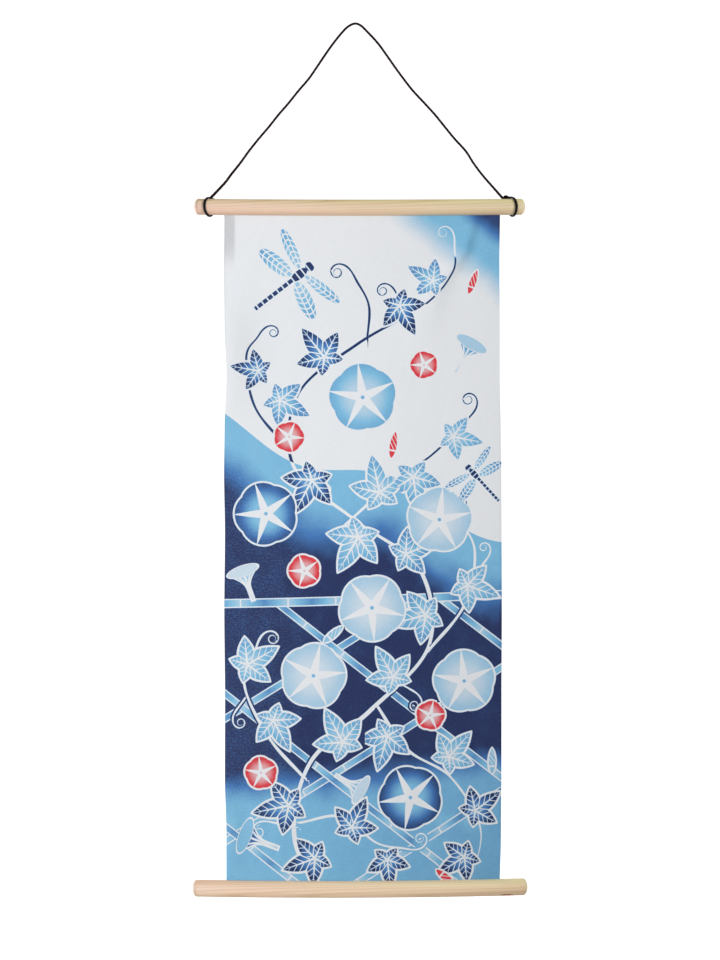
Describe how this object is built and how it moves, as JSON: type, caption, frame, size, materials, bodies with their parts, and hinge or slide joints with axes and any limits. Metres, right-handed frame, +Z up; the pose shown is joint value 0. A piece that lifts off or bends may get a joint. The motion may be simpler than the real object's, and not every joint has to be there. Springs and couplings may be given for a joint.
{
  "type": "tenugui towel wall hanging with slotted wooden rods and hanging cord",
  "caption": "Dyed cotton towel hung as a narrow scroll, its short edges gripped in round wooden rods, with a peaked cord tied to elastic loops.",
  "frame": {"origin": "underside of the cord's peak, where the hook that is left out carries it", "axes": "+Z up, +X to the right along the rods as seen from the front, +Y back towards the wall"},
  "size_m": [0.4328, 0.0314, 1.1411],
  "materials": {
    "dyed_cotton": "plain-weave cotton, poured dye in white, light blue, indigo and a little red, matt",
    "softwood": "pale planed softwood, fine lengthwise grain, unvarnished",
    "elastic": "round black elastic, satin",
    "cord": "round braided cord, dark brown-black, dull"
  },
  "bodies": {
    "root": {"cloth": "dyed_cotton", "top_rod": "softwood", "bottom_rod": "softwood", "elastic_loop_left": "elastic", "elastic_loop_right": "elastic", "cord_knot_left": "cord", "cord_knot_right": "cord", "hanging_cord": "cord"}
  },
  "joints": []
}
